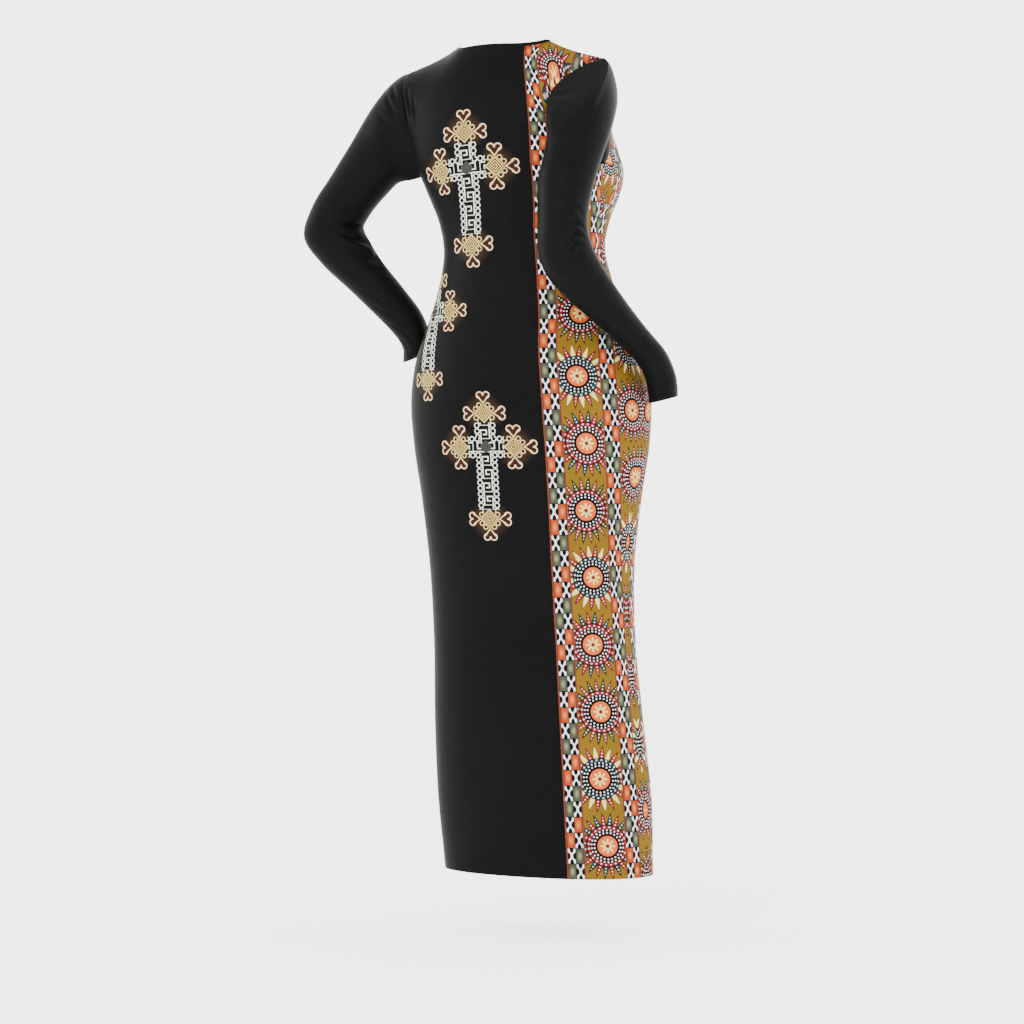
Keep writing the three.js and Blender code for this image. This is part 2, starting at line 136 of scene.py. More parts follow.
# Sections of each sleeve: centre, half width across and half depth, each at a slope in degrees
SLEEVE_COLUMNS = ("x", "y", "z", "half_width", "slope", "half_depth", "depth_slope")
SLEEVES = {
    "left": {
        "side": 1,
        "twist": 0,
        "fullness": 1,
        "under": (0.95, 0.1, -0.3),
        "behind": (0.9, 0.2, -0.3),
        "rows": (
            (245, 10, -185, 49, 140, 44, 0),
            (277, 12, -222, 45, 149, 42, 0),
            (304, 12, -256, 46, 163, 42, 0),
            (316, 10, -288, 50, 187, 42, 0),
            (298, 1, -321, 44, 204, 41, 0),
            (268, -10, -357, 36, 223, 38, 0),
            (229, -22, -401, 32, 223, 35, 0),
            (198, -29, -437, 29, 222, 32, 0),
            (184, -32, -464, 26, 215, 30, 0),
            (181, -32, -492, 25, 204, 30, 0),
        ),
    },
    "right": {
        "side": -1,
        "twist": 70,
        "fullness": 0.75,
        "under": (-0.8, 0.6, 0.05),
        "behind": (-0.2, 0.8, -0.5),
        "rows": (
            (-179, 88, -190, 50, 12, 43, 33),
            (-176, 104, -228, 46, 5, 44, 0),
            (-176, 116, -268, 41, 3, 42, 0),
            (-178, 124, -307, 39, 2, 41, 0),
            (-183, 125, -341, 42, 5, 41, 0),
            (-193, 116, -374, 43, 12, 41, 0),
            (-208, 92, -405, 37, 23, 39, 0),
            (-230, 56, -443, 29, 30, 36, 0),
            (-250, 23, -478, 25, 30, 33, 0),
            (-267, -3, -508, 24, 25, 32, 0),
            (-276, -16, -540, 24, 12, 32, 0),
            (-278, -20, -572, 23, 14, 32, 0),
        ),
    },
}

# Creases as straight soft troughs in the cut's own coordinates: ends, depth and half breadth.
# On a panel u is counted from the centre line towards the wearer's left and v from the hem;
# on a sleeve u goes round from the shoulder line and v down from the armhole.
CREASE_COLUMNS = ("u0", "v0", "u1", "v1", "depth", "breadth")
CREASES = {
    "back": (
        (188, 1308, 166, 1236, 2.6, 3.6),
        (172, 1296, 146, 1214, 3.2, 4.0),
        (150, 1268, 134, 1196, 2.6, 4.0),
        (178, 1262, 158, 1204, 2.1, 3.4),
        (-128, 1262, -108, 1206, 1.3, 7),
        (-120, 1216, -150, 1168, 1.2, 6),
        (-70, 1004, 66, 1018, 0.9, 12),
        (-34, 978, 120, 960, 0.8, 11),
        (-128, 968, -20, 948, 0.7, 10),
        (36, 936, 150, 906, 0.7, 12),
        (-60, 402, 70, 388, 0.5, 14),
        (-20, 356, 110, 372, 0.5, 13),
    ),
    "front": (
        (150, 1262, 96, 1196, 1.5, 7),
        (158, 1236, 118, 1176, 1.2, 6),
        (-150, 1258, -100, 1200, 1.5, 7),
        (-160, 1230, -116, 1172, 1.1, 6),
        (-96, 1050, -10, 1030, 0.9, 11),
        (104, 1046, 22, 1022, 0.8, 12),
        (-90, 986, 60, 1000, 0.9, 11),
        (-120, 944, 16, 962, 0.7, 12),
        (-56, 420, 84, 404, 0.5, 14),
    ),
    "left": (
        (18, 27, 84, 9, 1.9, 4.4),
        (40, 36, 108, 12, 2.3, 4.8),
        (64, 54, 112, 22, 1.6, 4.2),
        (63, 201, 112, 142, 1.9, 4.2),
        (74, 214, 128, 150, 2.6, 4.4),
        (70, 236, 134, 166, 2.9, 4.8),
        (70, 256, 122, 192, 2.2, 4.4),
        (66, 276, 106, 212, 2.6, 4.8),
        (60, 302, 94, 240, 1.8, 5),
        (24, 412, 56, 396, 1.2, 7),
        (16, 462, 48, 440, 1.3, 7),
        (12, 505, 44, 484, 1.1, 6),
        (8, 546, 34, 526, 1.0, 6),
    ),
    "right": (
        (12, 296, -26, 322, 1.8, 4.0),
        (8, 326, -30, 340, 2.4, 4.0),
        (12, 342, -26, 358, 2.7, 4.6),
        (20, 350, -20, 374, 2.3, 4.2),
        (28, 358, -14, 388, 2.0, 4.6),
        (34, 384, -6, 410, 1.4, 4.8),
        (-34, 452, -66, 462, 1.0, 7),
        (-30, 500, -58, 512, 1.1, 7),
        (-26, 548, -52, 556, 0.9, 6),
        (60, 60, 104, 24, 1.2, 7),
        (88, 84, 128, 46, 1.0, 7),
    ),
}

CREASE_WEIGHT = 1.6  # of the creases of a sleeve
CREASE_RIDGE = 1.3  # how far the cloth stands up beside a trough
NO_WRAP = 4000.0  # wider than a panel, so that its creases don't come round again

# A turned edge: softness of its step, and depth and half breadth of its stitch groove
TURN_SOFT = 1.5
TURN_GROOVE = (0.35, 1.6)

# The neck band's section: middle and half size up and outwards, and the power that squares it
BAND_RISE = (4.3, 4.0)
BAND_DEPTH = (-0.75, 1.1)
BAND_POWER = 0.6

# Stitches: rows below the neck band, lift off the cloth, and blunt ends of one stitch
NECK_ROWS = (2.5, 5.5)
THREAD_LIFT = 0.25
STITCH_END = 0.18
STITCH_POWER = 0.6

# The line where the print starts: u on the panel at a height v, both in the cut's coordinates
PRINT_EDGE_COLUMNS = ("v", "u")
PRINT_EDGES = {
    "back": (
        (0, -89),
        (190, -94),
        (440, -96),
        (690, -97),
        (760, -94),
        (880, -81),
        (955, -71),
        (1025, -67),
        (1104, -78),
        (1184, -87),
        (1255, -83),
        (1340, -63),
    ),
    "front": (
        (0, -89),
        (190, -94),
        (440, -96),
        (690, -95),
        (880, -88),
        (1025, -84),
        (1184, -87),
        (1340, -66),
    ),
}

PRINT_MARGIN = 4.0  # black cloth past the print's edge that still takes the print's finish

# The printed design, in millimetres on the cloth
BAND_WIDTH = 30  # a checkered band between two coral lines
STRIPE_REPEAT = 94  # one band and one column of rosettes
BORDER_LINE = 2.2
CELL_HEIGHT = 24.5
ROSETTE_PITCH = 105
ROSETTE_RAYS = 24
ROSETTE_SHIFT = 7  # from one rosette to the next, across the column
ROSETTE = {"root": 33.0, "collar": 31.8, "rim": 27.6, "ring": 18.6, "disc": 16.0, "eye": 3.4, "dot": 1.5}
RAY_START = 34
RAY_LENGTH = 19
PETALS = 8
PETAL_MIDDLE = 9.0
PETAL_SWING = 3.6
DROP_STEP = 5.0  # along a ray, from dot to dot
FAR = 9  # past the reach of any dot
DOT_RINGS = ((20.9, 22), (25.3, 26), (29.8, 24))
DOT_RADIUS = 1.2

# Crosses: the middle of each, from the print's edge and from the hem
CROSS_COLUMNS = ("across", "up", "unit")  # unit: millimetres to one unit of the numbers below
CROSSES = ((112, 1126, 1.72), (216, 899, 1.6), (99, 677, 1.6))
CROSS_STRETCH = 1.12
# Where the cloth of the highest cross starts and that of the lowest ends: v at the edge, and slope
HIGH_FROM = (900, 0.5)
LOW_UNDER = (822, 0.4)
SIDE_END = 27.5
TOP_END = 33
FOOT_END = 70.5
DIAMOND = 9.2
SPIRAL_STEP = 2.6
LINE_HALF = 0.48
RING_LINE = 12.4
RING_SPREAD = 2.6
RING_RADIUS = 2.1
SCROLL_TIP = (17.8, 3.3)
SCROLL_RADIUS = 3.1
SCROLL_START = 9.6
SCROLL_SPREAD = 0.72
ARM_HALF = 5.6
CHAIN_LINE = 8.0
CHAIN_STEP = 5.6
CHAIN_RADIUS = 2.3
KEY_STEP = 13
# Bars of one turn of the Greek key: middle across and along, and half lengths
KEY_COLUMNS = ("across", "along", "half_across", "half_along")
KEY_BARS = (
    (0, 0, 4.4, 0),
    (4.4, 4.3, 0, 4.3),
    (1.5, 8.6, 2.9, 0),
    (-1.4, 6.45, 0, 2.15),
    (0.1, 4.3, 1.5, 0),
    (-4.4, 6.5, 0, 6.5),
)

# The stage: floor and wall in millimetres, lamps (place, spread, power) and camera in metres
FLOOR_RADIUS = 7500.0
CORNER_RADIUS = 1800.0
WALL_TOP = 6500.0
FLOOR_START = 400.0
FLOOR_RINGS = 12
CORNER_RINGS = 25
STAGE_AROUND = 96
LAMPS = {
    "key_light": ((-0.2, 4.6, 2.6), 2.4, 120.0),
    "side_light": ((3.6, 1.2, 0.6), 1.8, 70.0),
    "far_light": ((-3.4, -1.6, 1.2), 2.0, 60.0),
}
LAMP_AIM = (-0.03, -0.02, -0.65)
SKY_COLOUR = (0.95, 0.96, 0.94, 1.0)
CAMERA_ACROSS = 0.0144
CAMERA_HEIGHT = -0.7472


# ---------------------------------------------------------------- curves and surfaces


def smoothstep(x, low, high):
    """0 below low, 1 above high, and 3f^2 - 2f^3 of the share f between."""
    f = np.clip((x - low) / (high - low), 0, 1)
    return f * f * (3 - 2 * f)


def unit(v):
    """Each vector over its own length."""
    return v / np.linalg.norm(v, axis=-1, keepdims=True)


def hermite(start, leave, end, arrive, f):
    """The cubic that leaves start along leave at f = 0 and reaches end along arrive at f = 1."""
    g = 1 - f
    points = (1 + 2 * f) * g * g * start + f * f * (3 - 2 * f) * end
    return points + f * g * g * leave - f * f * g * arrive


def along_table(names, rows, key, at):
    """Every column of a table as a smooth curve of its key column.

    Hermite pieces run between rows. The slope at a row is the mean of the two slopes beside it,
    each weighted by the length of the other step.
    """
    columns = dict(zip(names, np.array(rows, float).T))
    keys = columns[key]
    step = np.diff(keys)
    i = np.clip(np.searchsorted(keys, at, side="right") - 1, 0, len(keys) - 2)
    f = np.clip((at - keys[i]) / step[i], 0, 1)
    result = {}
    for name, values in columns.items():
        rise = np.diff(values) / step
        middle = (rise[:-1] * step[1:] + rise[1:] * step[:-1]) / (step[:-1] + step[1:])
        slope = np.concatenate([rise[:1], middle, rise[-1:]])
        result[name] = hermite(values[i], slope[i] * step[i], values[i + 1], slope[i + 1] * step[i], f)
    return result


def bowed(angle, square):
    """Across and deep of a superellipse: sine and cosine to the power two over the squareness."""
    across = np.sign(angle) * np.abs(np.sin(angle)) ** (2 / square)
    return across, np.maximum(np.cos(angle), 0) ** (2 / square)


def tube_point(s, z, back):
    """The body tube: at height z, half a superellipse from the right seam (-1) to the left (1)."""
    row = along_table(BODY_COLUMNS, BODY_ROWS, "z", z)
    across, deep = bowed(s * np.pi / 2, row["back_square"] if back else row["front_square"])
    y = row["y"] + (row["back"] if back else -row["front"]) * deep
    return np.stack([row["x"] + row["half_width"] * across, y, z + 0 * s], -1)


def ridge_point(s):
    """The shoulder seam, and the peak over the neck between its points, as two Hermite curves."""
    away = np.abs(s)
    inner = away / NECK_SHARE
    outer = (away - NECK_SHARE) / (1 - NECK_SHARE)
    run = SHOULDER_X - NECK_HALF_WIDTH
    neck = hermite(RIDGE_PEAK, 0, 0, NECK_SLOPE * NECK_HALF_WIDTH, np.minimum(inner, 1))
    shoulder = hermite(0, NECK_SLOPE * run, -SHOULDER_DROP, SHOULDER_SLOPE * run, np.maximum(outer, 0))
    x = np.where(inner <= 1, NECK_HALF_WIDTH * inner, NECK_HALF_WIDTH + run * outer)
    return np.stack([np.sign(s) * x, 0 * s, np.where(inner <= 1, neck, shoulder)], -1)


def column_share(s, back):
    """How far up its column a panel reaches: fully at the shoulder, less along the neckline."""
    inside = np.maximum(1 - (s / NECK_SHARE) ** 2, 0) ** NECKLINE_ROUNDING
    return 1 - (1 - NECKLINE_SHARE["back" if back else "front"]) * inside


def guide_point(s, name, which):
    """An arc of a superellipse over its span, rising from the middle height to the side height."""
    guide = dict(zip(GUIDE_COLUMNS, GUIDES[name][which]))
    spread = np.sign(s) * np.abs(s) ** GUIDE_SPREAD
    across, deep = bowed(spread * np.radians(guide["span"]), guide["square"])
    rise = smoothstep(np.abs(s), LEVEL_SHARE, 1)
    z = guide["middle_z"] + (guide["side_z"] - guide["middle_z"]) * rise
    depth = -guide["depth"] if name == "front" else guide["depth"]
    return np.stack([guide["x"] + guide["half_width"] * across, guide["y"] + depth * deep, z], -1)


def yoke_point(s, t, back):
    """Above the underarm a column is a cubic Bezier from tube to ridge, cut at the neckline."""
    start = tube_point(s, UNDERARM_Z + 0 * s, back)
    lead = (tube_point(s, UNDERARM_Z + 1 + 0 * s, back) - start) * LEAD
    if back:
        right = (s < 0)[..., None]
        guides = [
            np.where(right, guide_point(s, "back_right", k), guide_point(s, "back_left", k))
            for k in (0, 1)
        ]
    else:
        guides = [guide_point(s, "front", k) for k in (0, 1)]
    side = smoothstep(np.abs(s), LEAD_SHARE, 1)[..., None]
    low = (start + lead) * (1 - side) + guides[0] * side
    f = (t * column_share(s, back))[..., None]
    g = 1 - f
    return g**3 * start + 3 * g * g * f * low + 3 * g * f * f * guides[1] + f**3 * ridge_point(s)


def panel_point(s, r, back):
    """A panel at the share s of its half width and r rows above the underarm, or below if r < 0."""
    s, r = np.broadcast_arrays(np.asarray(s, float), np.asarray(r, float))
    tube = tube_point(s, np.minimum(UNDERARM_Z + r * TUBE_STEP, UNDERARM_Z), back)
    yoke = yoke_point(s, np.maximum(r, 0) / YOKE_ROWS, back)
    point = np.where((r <= 0)[..., None], tube, yoke)
    point[..., 1] += SEAM_GAP / 2 if back else -SEAM_GAP / 2
    return point


def edge_frame(turn, found):
    """Points, normals and outward directions round an edge, from those of the back and the front.

    The back has the first half of the turn and the front the second; where they meet, both are
    averaged. Outward is the cross product of the edge's run and the panel's normal, turned away
    from the panel.
    """
    on_back = ((turn > 0) & (turn < 0.5))[:, None]
    ends = ((turn == 0) | (turn == 0.5))[:, None]
    point, normal, outward = (
        np.where(ends, (b + f) / 2, np.where(on_back, b, f)) for b, f in zip(*found)
    )
    along = np.roll(point, -1, 0) - np.roll(point, 1, 0)
    away = unit(np.cross(along, unit(normal)))
    return point, unit(normal), away * np.sign(np.sum(away * outward, -1, keepdims=True))


def armhole(side, count):
    """An armhole's edge: from the shoulder down the back, through the underarm and up the front."""
    turn = np.arange(count) / count
    r = YOKE_ROWS * (1 - 2 * np.minimum(turn, 1 - turn))
    found = []
    for back in (True, False):
        point = panel_point(side, r, back)
        outward = point - panel_point(side * (1 - EDGE_STEP), r, back)
        along = panel_point(side, np.minimum(r + 1, YOKE_ROWS), back)
        along = along - panel_point(side, r - 1, back)
        normal = unit(np.cross(outward * side, along)) * (-1 if back else 1)
        found.append((point, normal, outward))
    return edge_frame(turn, found)


def neckline(count):
    """The neckline's edge: from the right neck point round the back, the left and the front."""
    turn = np.arange(count) / count
    s = NECK_SHARE * (1 - 4 * np.abs(turn - 0.5))
    below = YOKE_ROWS - 1
    found = []
    for back in (True, False):
        point = panel_point(s, YOKE_ROWS, back)
        across = panel_point(s + EDGE_STEP, below, back) - panel_point(s - EDGE_STEP, below, back)
        along = point - panel_point(s, below - 1, back)
        normal = unit(np.cross(across, along)) * (-1 if back else 1)
        found.append((point, normal, point - panel_point(s, below, back)))
    return edge_frame(turn, found)


def sleeve_rings(sleeve, count):
    """Each row of a sleeve's table as an ellipse, turned by its slopes in the arm's upright plane."""
    rows = np.array(sleeve["rows"], float).T[:, :, None, None]
    row = dict(zip(SLEEVE_COLUMNS, rows))
    slope, tip = np.radians(row["slope"]), np.radians(row["depth_slope"])
    across = ARM_ACROSS * np.cos(slope) + UP * np.sin(slope)
    deep = ARM_DEEP * np.cos(tip) + UP * np.sin(tip)
    angle = (np.radians(sleeve["twist"]) + TAU * np.arange(count) / count)[:, None]
    centre = np.concatenate([row["x"], row["y"], row["z"]], -1)
    wide, high = across * row["half_width"], deep * row["half_depth"]
    return centre + wide * np.cos(angle) + high * np.sin(angle)


def sleeve_cap(sleeve, rings, steps):
    """Hermite curves from the armhole to the first ring.

    They leave along the panels' own surface at the shoulder and by the headings at the underarm and
    behind, and arrive along the way from the first ring to the second.
    """
    count = rings.shape[1]
    point, _, away = armhole(sleeve["side"], count)
    turn = (TAU * np.arange(count) / count)[:, None]
    low = ((1 - np.cos(turn)) / 2) ** 2
    behind = np.maximum(np.sin(turn), 0) ** 2 * (1 - low)
    start = point + SEAM_GAP * away
    reach = np.linalg.norm(rings[0] - start, axis=-1, keepdims=True)
    under, back = np.array(sleeve["under"]), np.array(sleeve["behind"])
    leave = away * (1 - low - behind) + under * low + back * behind
    leave = unit(leave) * reach * sleeve["fullness"] * (1 + low + behind)
    arrive = unit(rings[1] - rings[0]) * reach
    return hermite(start, leave, rings[0], arrive, (np.arange(steps) / steps)[:, None, None])


def sleeve_tube(rings, per_row):
    """A smooth curve down each column of the rings.

    Its slope at a ring is half the step from the ring before to the ring after.
    """
    last = len(rings) - 1
    index = np.arange(last + 1)
    tangent = (rings[np.minimum(index + 1, last)] - rings[np.maximum(index - 1, 0)]) / 2
    place = np.linspace(0, last, last * per_row + 1)
    i = np.minimum(place.astype(int), last - 1)
    return hermite(rings[i], tangent[i], rings[i + 1], tangent[i + 1], (place - i)[:, None, None])


def closed(grid):
    """A grid whose rows close on themselves, with its first column again at the end."""
    return np.concatenate([grid, grid[:, :1]], 1)


def cut_coordinates(grid, middle):
    """u and v of the cut: the length along each row from a middle column, and along each column."""
    u = np.cumsum(np.linalg.norm(np.diff(grid, axis=1, prepend=grid[:, :1]), axis=-1), 1)
    v = np.cumsum(np.linalg.norm(np.diff(grid, axis=0, prepend=grid[:1]), axis=-1), 0)
    return u - u[:, middle : middle + 1], v


def surface_normals(grid, around, facing):
    """The cross product of a grid's steps across and along at each point, turned by facing."""
    if around:
        across = np.roll(grid, -1, 1) - np.roll(grid, 1, 1)
    else:
        across = np.gradient(grid, axis=1)
    return unit(np.cross(across, np.gradient(grid, axis=0))) * facing


def crease_relief(u, v, girth, rows):
    """Soft troughs along straight lines of the cut, with low ridges beside them.

    With x in half breadths across a line and y in half lengths along it, the depth is
    (1 - ridge x^2) exp(-x^2) (1 - y^2)^2. Girth is where u comes round to its start.
    """
    relief = np.zeros_like(u)
    for row in rows:
        c = dict(zip(CREASE_COLUMNS, row))
        run = np.array((c["u1"] - c["u0"], c["v1"] - c["v0"]), float)
        half = np.linalg.norm(run) / 2
        run /= 2 * half
        du = (u - (c["u0"] + c["u1"]) / 2 + girth / 2) % girth - girth / 2
        dv = v - (c["v0"] + c["v1"]) / 2
        y = np.minimum(np.abs(du * run[0] + dv * run[1]) / half, 1)
        x = (dv * run[0] - du * run[1]) / c["breadth"]
        relief -= c["depth"] * (1 - y * y) ** 2 * (1 - CREASE_RIDGE * x * x) * np.exp(-x * x)
    return relief


def seam_dip(distance, depth, breadth):
    """A valley beside a seam: the depth dies away with the square of the distance over the breadth."""
    return -depth * np.exp(-((distance / breadth) ** 2))


def turned_edge(distance, height, sizes):
    """A turned hem: the double cloth stands proud below its stitch line, which draws a groove."""
    proud = sizes.turning_relief / MM * smoothstep(height - distance, -TURN_SOFT, TURN_SOFT)
    return proud + seam_dip(distance - height, *TURN_GROOVE)


# ---------------------------------------------------------------- meshes


def face_grid(rows, columns, first, around, flip):
    """Corner numbers of a grid's quads, counted from first; around joins a row's ends."""
    across = np.arange(columns if around else columns - 1)
    i, j = np.meshgrid(np.arange(rows - 1), across, indexing="ij")
    k = (j + 1) % columns
    corners = [(i, j), (i, k), (i + 1, k), (i + 1, j)]
    quads = np.stack([first + a * columns + b for a, b in corners], -1).reshape(-1, 4)
    return quads[:, ::-1] if flip else quads


def corner_values(values, flip):
    """The four corner values of each quad, from a grid of values that isn't closed round."""
    stack = np.stack([values[:-1, :-1], values[:-1, 1:], values[1:, 1:], values[1:, :-1]], 2)
    stack = stack.reshape(-1, 4, values.shape[-1])
    return stack[:, ::-1] if flip else stack


def rim_quads(a, b, flip):
    """Quads between two runs of point numbers, or of values."""
    quads = np.stack([a[:-1], a[1:], b[1:], b[:-1]], 1)
    return quads[:, ::-1] if flip else quads


def turned_in(points, faces):
    """Whether a closed mesh's faces point inwards: its summed first . (second x third) is below 0."""
    first, second, third = (points[faces[:, k]] for k in range(3))
    return np.sum(first * np.cross(second, third)) < 0


def new_piece(name, points, faces, corners, slots, materials):
    """A mesh object at the origin, from points in millimetres, quads, corner values and slots."""
    mesh = bpy.data.meshes.new(name)
    mesh.from_pydata((points * MM).tolist(), [], faces.tolist())
    if corners is not None:
        layer = mesh.uv_layers.new(name="cut")
        layer.data.foreach_set("uv", (corners * MM).astype(np.float32).ravel())
    for material in materials:
        mesh.materials.append(material)
    mesh.polygons.foreach_set("material_index", np.asarray(slots, np.int32))
    mesh.polygons.foreach_set("use_smooth", np.ones(len(faces), bool))
    mesh.update()
    mesh.set_sharp_from_angle(angle=SHARP_ANGLE)
    piece = bpy.data.objects.new(name, mesh)
    bpy.context.scene.collection.objects.link(piece)
    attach(piece, "root")
    return piece


def cloth_wall(name, outer, normals, thickness, around, cut, outer_slots, materials):
    """A closed wall: the outer grid, the same grid moved in along its normals, and quads along rims.

    The inner side takes the last material, and the rims take the first outer face's.
    """
    rows, columns = outer.shape[:2]
    count = rows * columns
    number = np.arange(count).reshape(rows, columns)
    edges = []
    for row in (0, rows - 1):
        line = np.append(number[row], number[row, 0]) if around else number[row]
        edges.append((line, cut[row], row == 0))
    if not around:
        edges += [(number[:, k], cut[:, k], k > 0) for k in (0, columns - 1)]
    outside = face_grid(rows, columns, 0, around, False)
    inside = face_grid(rows, columns, count, around, True)
    rims = np.concatenate([rim_quads(line, line + count, flip) for line, _, flip in edges])
    faces = np.concatenate([outside, inside, rims])
    corners = [corner_values(cut, False), corner_values(cut, True)]
    corners = np.concatenate(corners + [rim_quads(edge, edge, flip) for _, edge, flip in edges])
    last, first = np.full(len(inside), len(materials) - 1), np.full(len(rims), outer_slots.flat[0])
    slots = np.concatenate([outer_slots.ravel(), last, first])
    inner = outer - normals * thickness
    points = np.concatenate([outer.reshape(-1, 3), inner.reshape(-1, 3)])
    if turned_in(points, faces):
        faces, corners = faces[:, ::-1], corners[:, ::-1]
    return new_piece(name, points, faces, corners, slots, materials)


def thread_stitches(path, normals, pitch, length, radius):
    """Short rounded stitches set at even steps along a closed path.

    One stitch is a capsule: rings of points whose radius is the sine of their share of the length,
    to a power that blunts it, laid along the path's run.
    """
    step = np.linalg.norm(np.diff(path, axis=0, append=path[:1]), axis=-1)
    travel = np.concatenate([[0], np.cumsum(step)])
    number = int(travel[-1] / pitch)
    at = (np.arange(number) + 0.5) * travel[-1] / number
    place = np.interp(at, travel, np.arange(len(path) + 1))
    low = place.astype(int) % len(path)
    high = (low + 1) % len(path)
    share = (place - place.astype(int))[:, None]
    centre = path[low] * (1 - share) + path[high] * share
    run = unit(path[high] - path[low])
    normal = unit(normals[low] * (1 - share) + normals[high] * share)
    side = unit(np.cross(normal, run))
    rings = np.arange(STITCH_RINGS) / (STITCH_RINGS - 1)
    turns = TAU * np.arange(STITCH_SIDES) / STITCH_SIDES
    ring, turn = (grid.reshape(1, -1, 1) for grid in np.meshgrid(rings, turns, indexing="ij"))
    swell = radius * np.maximum(np.sin(np.pi * ring), STITCH_END) ** STITCH_POWER
    points = centre[:, None] + run[:, None] * ((ring - 0.5) * length)
    points = points + side[:, None] * (swell * np.cos(turn)) + normal[:, None] * (swell * np.sin(turn))
    start = np.array([[0, 1, 2, 3], [3, 4, 5, 0]])
    end = start[:, ::-1] + (STITCH_RINGS - 1) * STITCH_SIDES
    stitch = np.concatenate([face_grid(STITCH_RINGS, STITCH_SIDES, 0, True, True), start, end])
    first = STITCH_RINGS * STITCH_SIDES * np.arange(number)[:, None, None]
    return points.reshape(-1, 3), (stitch + first).reshape(-1, 4)


# ---------------------------------------------------------------- shader sums

JERSEY_IOR = 1.08  # low, because a nap of fibres hardly mirrors
SHADER_SOCKETS = {
    "colour": "Base Color",
    "roughness": "Roughness",
    "normal": "Normal",
    "ior": "IOR",
    "gloss": "Specular IOR Level",
    "glow_colour": "Emission Color",
    "glow": "Emission Strength",
}


class Number:
    """A number that varies over a surface: one output socket, where each operator adds a Math node."""

    def __init__(self, finish, socket):
        self.finish = finish
        self.socket = socket

    def math(self, operation, *others):
        """A Math node on this number and the others, in this order."""
        sockets = dict(enumerate((self, *others)))
        return self.finish.number("ShaderNodeMath", {"operation": operation}, sockets)

    def __rsub__(self, other):
        return self.finish.number("ShaderNodeMath", {"operation": "SUBTRACT"}, {0: other, 1: self})

    __add__ = __radd__ = partialmethod(math, "ADD")
    __sub__ = partialmethod(math, "SUBTRACT")
    __mul__ = __rmul__ = partialmethod(math, "MULTIPLY")
    __truediv__ = partialmethod(math, "DIVIDE")
    __mod__ = partialmethod(math, "FLOORED_MODULO")
    __abs__ = partialmethod(math, "ABSOLUTE")
    __lt__ = partialmethod(math, "LESS_THAN")
    __gt__ = partialmethod(math, "GREATER_THAN")
    floor = partialmethod(math, "FLOOR")
    least = partialmethod(math, "MINIMUM")
    most = partialmethod(math, "MAXIMUM")

    def length(self, other):
        """The root of the sum of two squares."""
        return (self * self + other * other).math("SQRT")

    def angle(self, across):
        """The share of a full turn from this axis towards the other one, from 0 to 1."""
        return across.math("ARCTAN2", self) / TAU + 0.5

    def inside(self, edge, soft):
        """1 where this is below the edge and 0 where it is above, over a ramp as wide as soft.

        A soft width below zero turns the mask round.
        """
        return self.finish.clamp((edge - self) / soft + 0.5)

    def line(self, at, half, soft):
        """A line where this number is within half of a value."""
        return abs(self - at).inside(half, soft)

    def choose(self, yes, no):
        """The first number where this mask is 1, and the second where it is 0."""
        return (yes - no) * self + no


class Finish:
    """A node material. One method makes every node, from its type, its settings and its sockets."""

    def __init__(self, name):
        self.material = bpy.data.materials.new(name)
        self.material.use_nodes = True
        self.tree = self.material.node_tree
        self.tree.nodes.clear()

    def node(self, kind, settings=None, sockets=None):
        """A node, its settings first and then the value or the link of each socket."""
        made = self.tree.nodes.new(kind)
        for key, value in (settings or {}).items():
            setattr(made, key, value)
        for key, value in (sockets or {}).items():
            socket = made.inputs[key]
            if isinstance(value, Number):
                value = value.socket
            if isinstance(value, bpy.types.NodeSocket):
                self.tree.links.new(value, socket)
            else:
                socket.default_value = value
        return made

    def number(self, kind, settings=None, sockets=None):
        """The first output of a node."""
        return Number(self, self.node(kind, settings, sockets).outputs[0])

    def clamp(self, value):
        """The number held between 0 and 1."""
        return self.number("ShaderNodeClamp", {}, {"Value": value})

    def blend(self, mask, below, above):
        """A colour that is below where the mask is 0 and above where it is 1."""
        sockets = {"Factor": mask, 6: below, 7: above}
        return self.node("ShaderNodeMix", {"data_type": "RGBA"}, sockets).outputs[2]

    def paint(self, base, *layers):
        """A colour under layers, each of them a mask and the colour where the mask is 1."""
        return reduce(lambda below, layer: self.blend(layer[0], below, layer[1]), layers, base)

    def cut(self):
        """u and v of the cut, in millimetres."""
        uv = self.node("ShaderNodeUVMap", {"uv_map": "cut"})
        parts = self.node("ShaderNodeSeparateXYZ", {}, {0: uv.outputs[0]})
        return [Number(self, parts.outputs[k]) * (1 / MM) for k in range(2)]

    def noise(self, scale, detail=1.0):
        """Smooth noise in the object's own coordinates, one half on average."""
        place = self.node("ShaderNodeTexCoord").outputs["Object"]
        sockets = {"Vector": place, "Scale": scale, "Detail": detail, "Roughness": 0.5}
        return self.number("ShaderNodeTexNoise", {}, sockets)

    def shade(self, **sockets):
        """The shader and the output, from sockets named in lower case with underscores."""
        named = {SHADER_SOCKETS[key]: value for key, value in sockets.items()}
        shader = self.node("ShaderNodeBsdfPrincipled", {}, named)
        self.node("ShaderNodeOutputMaterial", {}, {"Surface": shader.outputs[0]})
        return self.material

    def cloth(self, colour, roughness, gloss):
        """The knit: an even nap, small unevenness in its roughness, and a fine bump of its loops."""
        rough = roughness + (self.noise(9.0) - 0.5) * 0.12
        loops = self.noise(420.0)
        bump = self.node("ShaderNodeBump", {}, {"Strength": 0.22, "Distance": 0.0004, "Height": loops})
        return self.shade(
            colour=colour, roughness=rough, normal=bump.outputs[0], ior=JERSEY_IOR, gloss=gloss
        )


def worn_black(finish, black):
    """Black jersey, very slightly paler from place to place."""
    paler = tuple(c * 1.35 for c in black[:3]) + (1.0,)
    return finish.blend(finish.noise(5.0), tuple(black), paler)


def plain_finish(name, colour):
    """Jersey of one dyed colour."""
    finish = Finish(name)
    return finish.cloth(worn_black(finish, colour), 0.42, 0.5)


